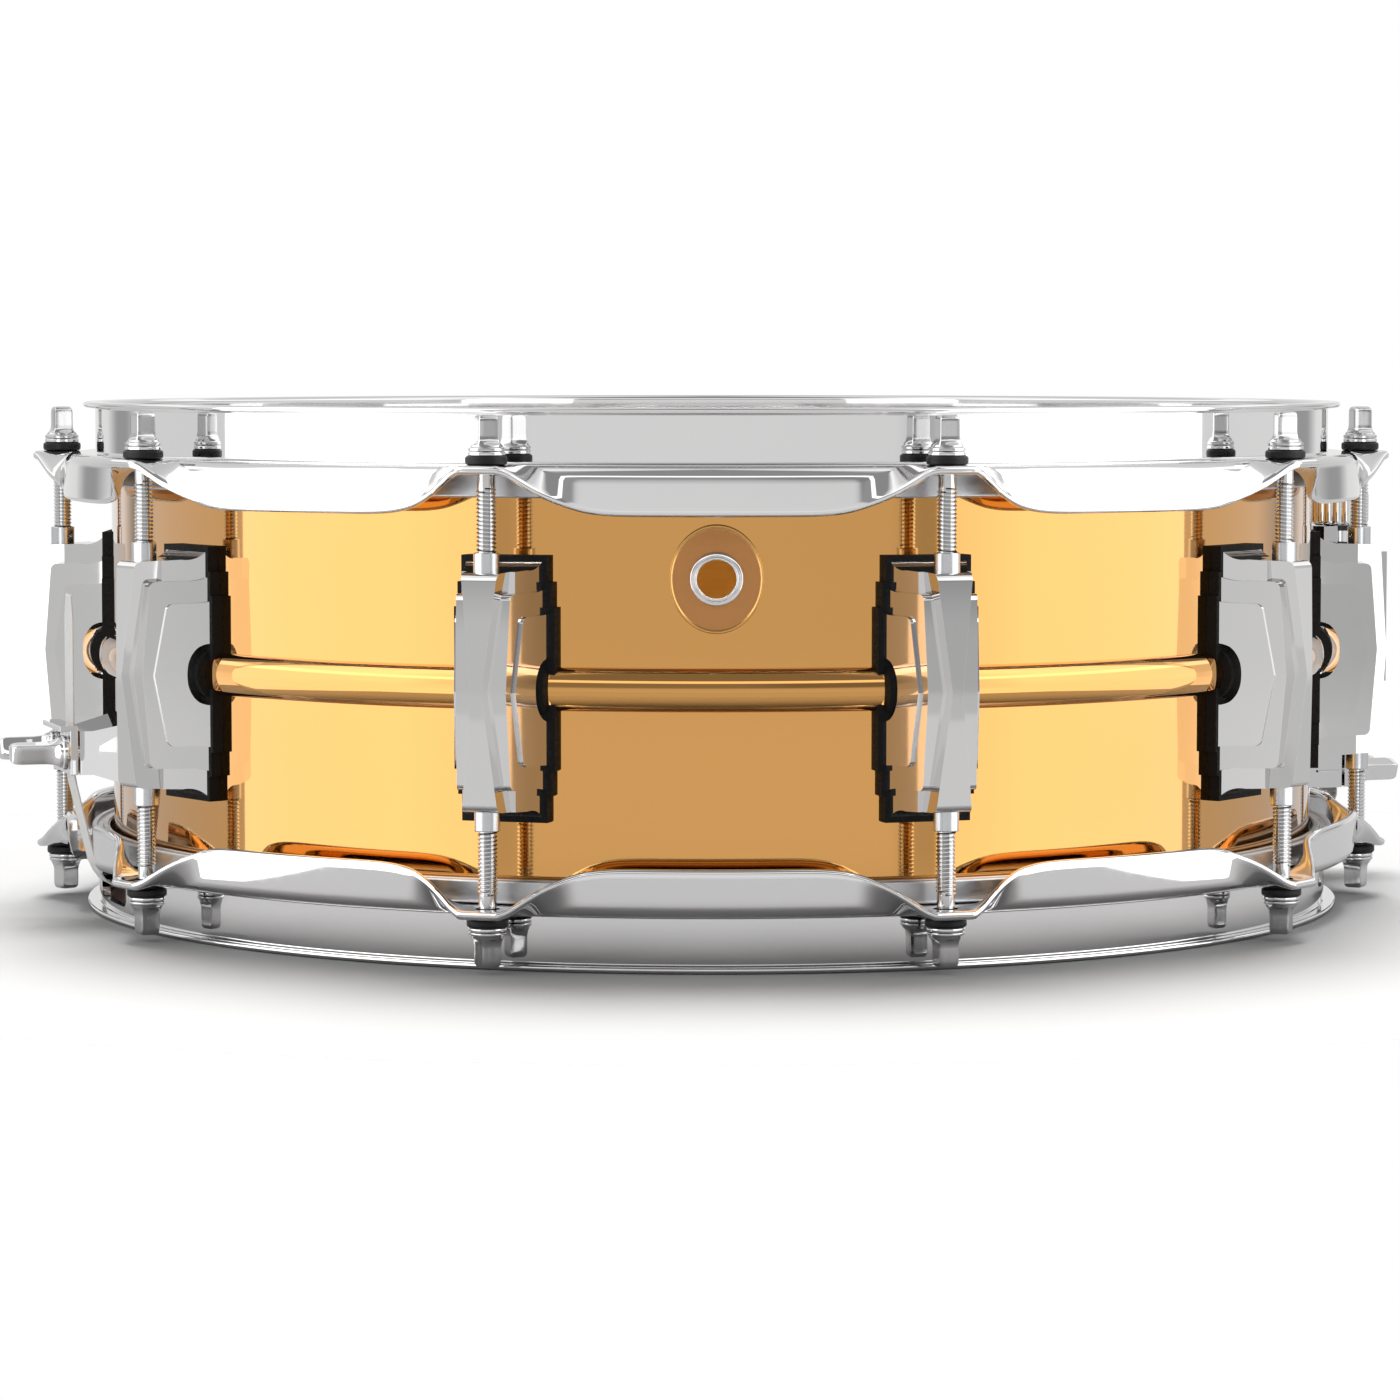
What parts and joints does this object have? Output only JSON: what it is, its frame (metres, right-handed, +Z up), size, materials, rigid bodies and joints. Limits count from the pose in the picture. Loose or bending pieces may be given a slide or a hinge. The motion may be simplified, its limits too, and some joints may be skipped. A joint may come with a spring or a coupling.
{
  "type": "snare drum",
  "caption": "Metal-shell snare drum with double-ended lugs, flanged hoops, tension rods, a throw-off strainer and coiled snare wires.",
  "frame": {"origin": "on the drum's axis, in the plane that the snare-side hoop stands on", "axes": "+Z up along the drum's axis, from the snare head to the batter head; -Y is the front, where the vent and badge are"},
  "size_m": [0.4198, 0.3832, 0.147],
  "materials": {
    "brass_shell": "polished",
    "chrome": "polished",
    "flesh_hoop_aluminium": "satin",
    "coated_film": "coated",
    "clear_film": "clear",
    "black_rubber": "matte",
    "rod_steel": "plated",
    "black_nylon": "satin",
    "badge_bronze": "satin",
    "strap_plastic": "satin",
    "snare_steel": "bright",
    "inner_steel": "zinc plated"
  },
  "bodies": {
    "drum": {"shell": "brass_shell", "batter_hoop": "chrome", "snare_hoop": "chrome", "batter_head": "coated_film", "batter_flesh_hoop": "flesh_hoop_aluminium", "snare_head": "clear_film", "snare_flesh_hoop": "flesh_hoop_aluminium", "lug_01": "chrome", "lug_02": "chrome", "lug_03": "chrome", "lug_04": "chrome", "lug_05": "chrome", "lug_06": "chrome", "lug_07": "chrome", "lug_08": "chrome", "lug_09": "chrome", "lug_10": "chrome", "lug_gaskets": "black_rubber", "swivel_nuts": "rod_steel", "lug_screws": "inner_steel", "rod_black_washers": "black_nylon", "rod_steel_washers": "rod_steel", "vent_grommet": "chrome", "badge": "badge_bronze", "strainer_body": "chrome", "lever_pins": "rod_steel", "bracket_screws": "inner_steel", "butt_body": "chrome", "butt_clamp_plate": "chrome", "butt_clamp_screws": "rod_steel", "butt_strap": "strap_plastic", "strainer_strap": "strap_plastic"},
    "lever": {"strainer_lever": "chrome"},
    "slide": {"strainer_slide": "chrome"},
    "knob": {"tension_knob": "chrome"},
    "carriage": {"clamp_carriage": "chrome", "strainer_clamp_plate": "chrome", "strainer_clamp_screws": "rod_steel"},
    "snares": {"snare_wires": "snare_steel", "snare_end_plates": "snare_steel"},
    "batter_rod_01": {"batter_rod_01": "rod_steel"},
    "snare_rod_01": {"snare_rod_01": "rod_steel"},
    "batter_rod_02": {"batter_rod_02": "rod_steel"},
    "snare_rod_02": {"snare_rod_02": "rod_steel"},
    "batter_rod_03": {"batter_rod_03": "rod_steel"},
    "snare_rod_03": {"snare_rod_03": "rod_steel"},
    "batter_rod_04": {"batter_rod_04": "rod_steel"},
    "snare_rod_04": {"snare_rod_04": "rod_steel"},
    "batter_rod_05": {"batter_rod_05": "rod_steel"},
    "snare_rod_05": {"snare_rod_05": "rod_steel"},
    "batter_rod_06": {"batter_rod_06": "rod_steel"},
    "snare_rod_06": {"snare_rod_06": "rod_steel"},
    "batter_rod_07": {"batter_rod_07": "rod_steel"},
    "snare_rod_07": {"snare_rod_07": "rod_steel"},
    "batter_rod_08": {"batter_rod_08": "rod_steel"},
    "snare_rod_08": {"snare_rod_08": "rod_steel"},
    "batter_rod_09": {"batter_rod_09": "rod_steel"},
    "snare_rod_09": {"snare_rod_09": "rod_steel"},
    "batter_rod_10": {"batter_rod_10": "rod_steel"},
    "snare_rod_10": {"snare_rod_10": "rod_steel"}
  },
  "joints": [
    {"name": "lever_throw", "type": "hinge", "parent": "drum", "child": "lever", "pos_m": [0.19021, 0.0618, 0.064], "axis": [-0.309, 0.9511, 0], "range_deg": [0, 85]},
    {"name": "slide_drop", "type": "slide", "parent": "drum", "child": "slide", "axis": [0, 0, -1], "range_m": [0, 0.0055], "deforming": ["strainer_strap"]},
    {"name": "snare_drop", "type": "slide", "parent": "drum", "child": "snares", "axis": [0, 0, -1], "range_m": [0, 0.0026], "deforming": ["butt_strap"]},
    {"name": "knob_turn", "type": "hinge", "parent": "slide", "child": "knob", "pos_m": [0.19563, 0.06356, 0.1], "axis": [0, 0, 1], "range_deg": [-1080, 1080]},
    {"name": "carriage_adjust", "type": "slide", "parent": "slide", "child": "carriage", "axis": [0, 0, 1], "range_m": [-0.0031, 0.0031]},
    {"name": "batter_rod_01_turn", "type": "hinge", "parent": "drum", "child": "batter_rod_01", "pos_m": [0.05958, -0.18336, 0.12], "axis": [0, 0, 1], "continuous": true},
    {"name": "snare_rod_01_turn", "type": "hinge", "parent": "drum", "child": "snare_rod_01", "pos_m": [0.05958, -0.18336, 0.027], "axis": [0, 0, 1], "continuous": true},
    {"name": "batter_rod_02_turn", "type": "hinge", "parent": "drum", "child": "batter_rod_02", "pos_m": [0.15598, -0.11332, 0.12], "axis": [0, 0, 1], "continuous": true},
    {"name": "snare_rod_02_turn", "type": "hinge", "parent": "drum", "child": "snare_rod_02", "pos_m": [0.15598, -0.11332, 0.027], "axis": [0, 0, 1], "continuous": true},
    {"name": "batter_rod_03_turn", "type": "hinge", "parent": "drum", "child": "batter_rod_03", "pos_m": [0.1928, 0, 0.12], "axis": [0, 0, 1], "continuous": true},
    {"name": "snare_rod_03_turn", "type": "hinge", "parent": "drum", "child": "snare_rod_03", "pos_m": [0.1928, 0, 0.027], "axis": [0, 0, 1], "continuous": true},
    {"name": "batter_rod_04_turn", "type": "hinge", "parent": "drum", "child": "batter_rod_04", "pos_m": [0.15598, 0.11332, 0.12], "axis": [0, 0, 1], "continuous": true},
    {"name": "snare_rod_04_turn", "type": "hinge", "parent": "drum", "child": "snare_rod_04", "pos_m": [0.15598, 0.11332, 0.027], "axis": [0, 0, 1], "continuous": true},
    {"name": "batter_rod_05_turn", "type": "hinge", "parent": "drum", "child": "batter_rod_05", "pos_m": [0.05958, 0.18336, 0.12], "axis": [0, 0, 1], "continuous": true},
    {"name": "snare_rod_05_turn", "type": "hinge", "parent": "drum", "child": "snare_rod_05", "pos_m": [0.05958, 0.18336, 0.027], "axis": [0, 0, 1], "continuous": true},
    {"name": "batter_rod_06_turn", "type": "hinge", "parent": "drum", "child": "batter_rod_06", "pos_m": [-0.05958, 0.18336, 0.12], "axis": [0, 0, 1], "continuous": true},
    {"name": "snare_rod_06_turn", "type": "hinge", "parent": "drum", "child": "snare_rod_06", "pos_m": [-0.05958, 0.18336, 0.027], "axis": [0, 0, 1], "continuous": true},
    {"name": "batter_rod_07_turn", "type": "hinge", "parent": "drum", "child": "batter_rod_07", "pos_m": [-0.15598, 0.11332, 0.12], "axis": [0, 0, 1], "continuous": true},
    {"name": "snare_rod_07_turn", "type": "hinge", "parent": "drum", "child": "snare_rod_07", "pos_m": [-0.15598, 0.11332, 0.027], "axis": [0, 0, 1], "continuous": true},
    {"name": "batter_rod_08_turn", "type": "hinge", "parent": "drum", "child": "batter_rod_08", "pos_m": [-0.1928, 0, 0.12], "axis": [0, 0, 1], "continuous": true},
    {"name": "snare_rod_08_turn", "type": "hinge", "parent": "drum", "child": "snare_rod_08", "pos_m": [-0.1928, 0, 0.027], "axis": [0, 0, 1], "continuous": true},
    {"name": "batter_rod_09_turn", "type": "hinge", "parent": "drum", "child": "batter_rod_09", "pos_m": [-0.15598, -0.11332, 0.12], "axis": [0, 0, 1], "continuous": true},
    {"name": "snare_rod_09_turn", "type": "hinge", "parent": "drum", "child": "snare_rod_09", "pos_m": [-0.15598, -0.11332, 0.027], "axis": [0, 0, 1], "continuous": true},
    {"name": "batter_rod_10_turn", "type": "hinge", "parent": "drum", "child": "batter_rod_10", "pos_m": [-0.05958, -0.18336, 0.12], "axis": [0, 0, 1], "continuous": true},
    {"name": "snare_rod_10_turn", "type": "hinge", "parent": "drum", "child": "snare_rod_10", "pos_m": [-0.05958, -0.18336, 0.027], "axis": [0, 0, 1], "continuous": true}
  ],
  "couplings": [
    {"joint": "slide_drop", "follows": "lever_throw", "m_per_rad": 0.0036431},
    {"joint": "snare_drop", "follows": "lever_throw", "m_per_rad": 0.0016178},
    {"joint": "carriage_adjust", "follows": "knob_turn", "m_per_rad": 0.00015915}
  ]
}
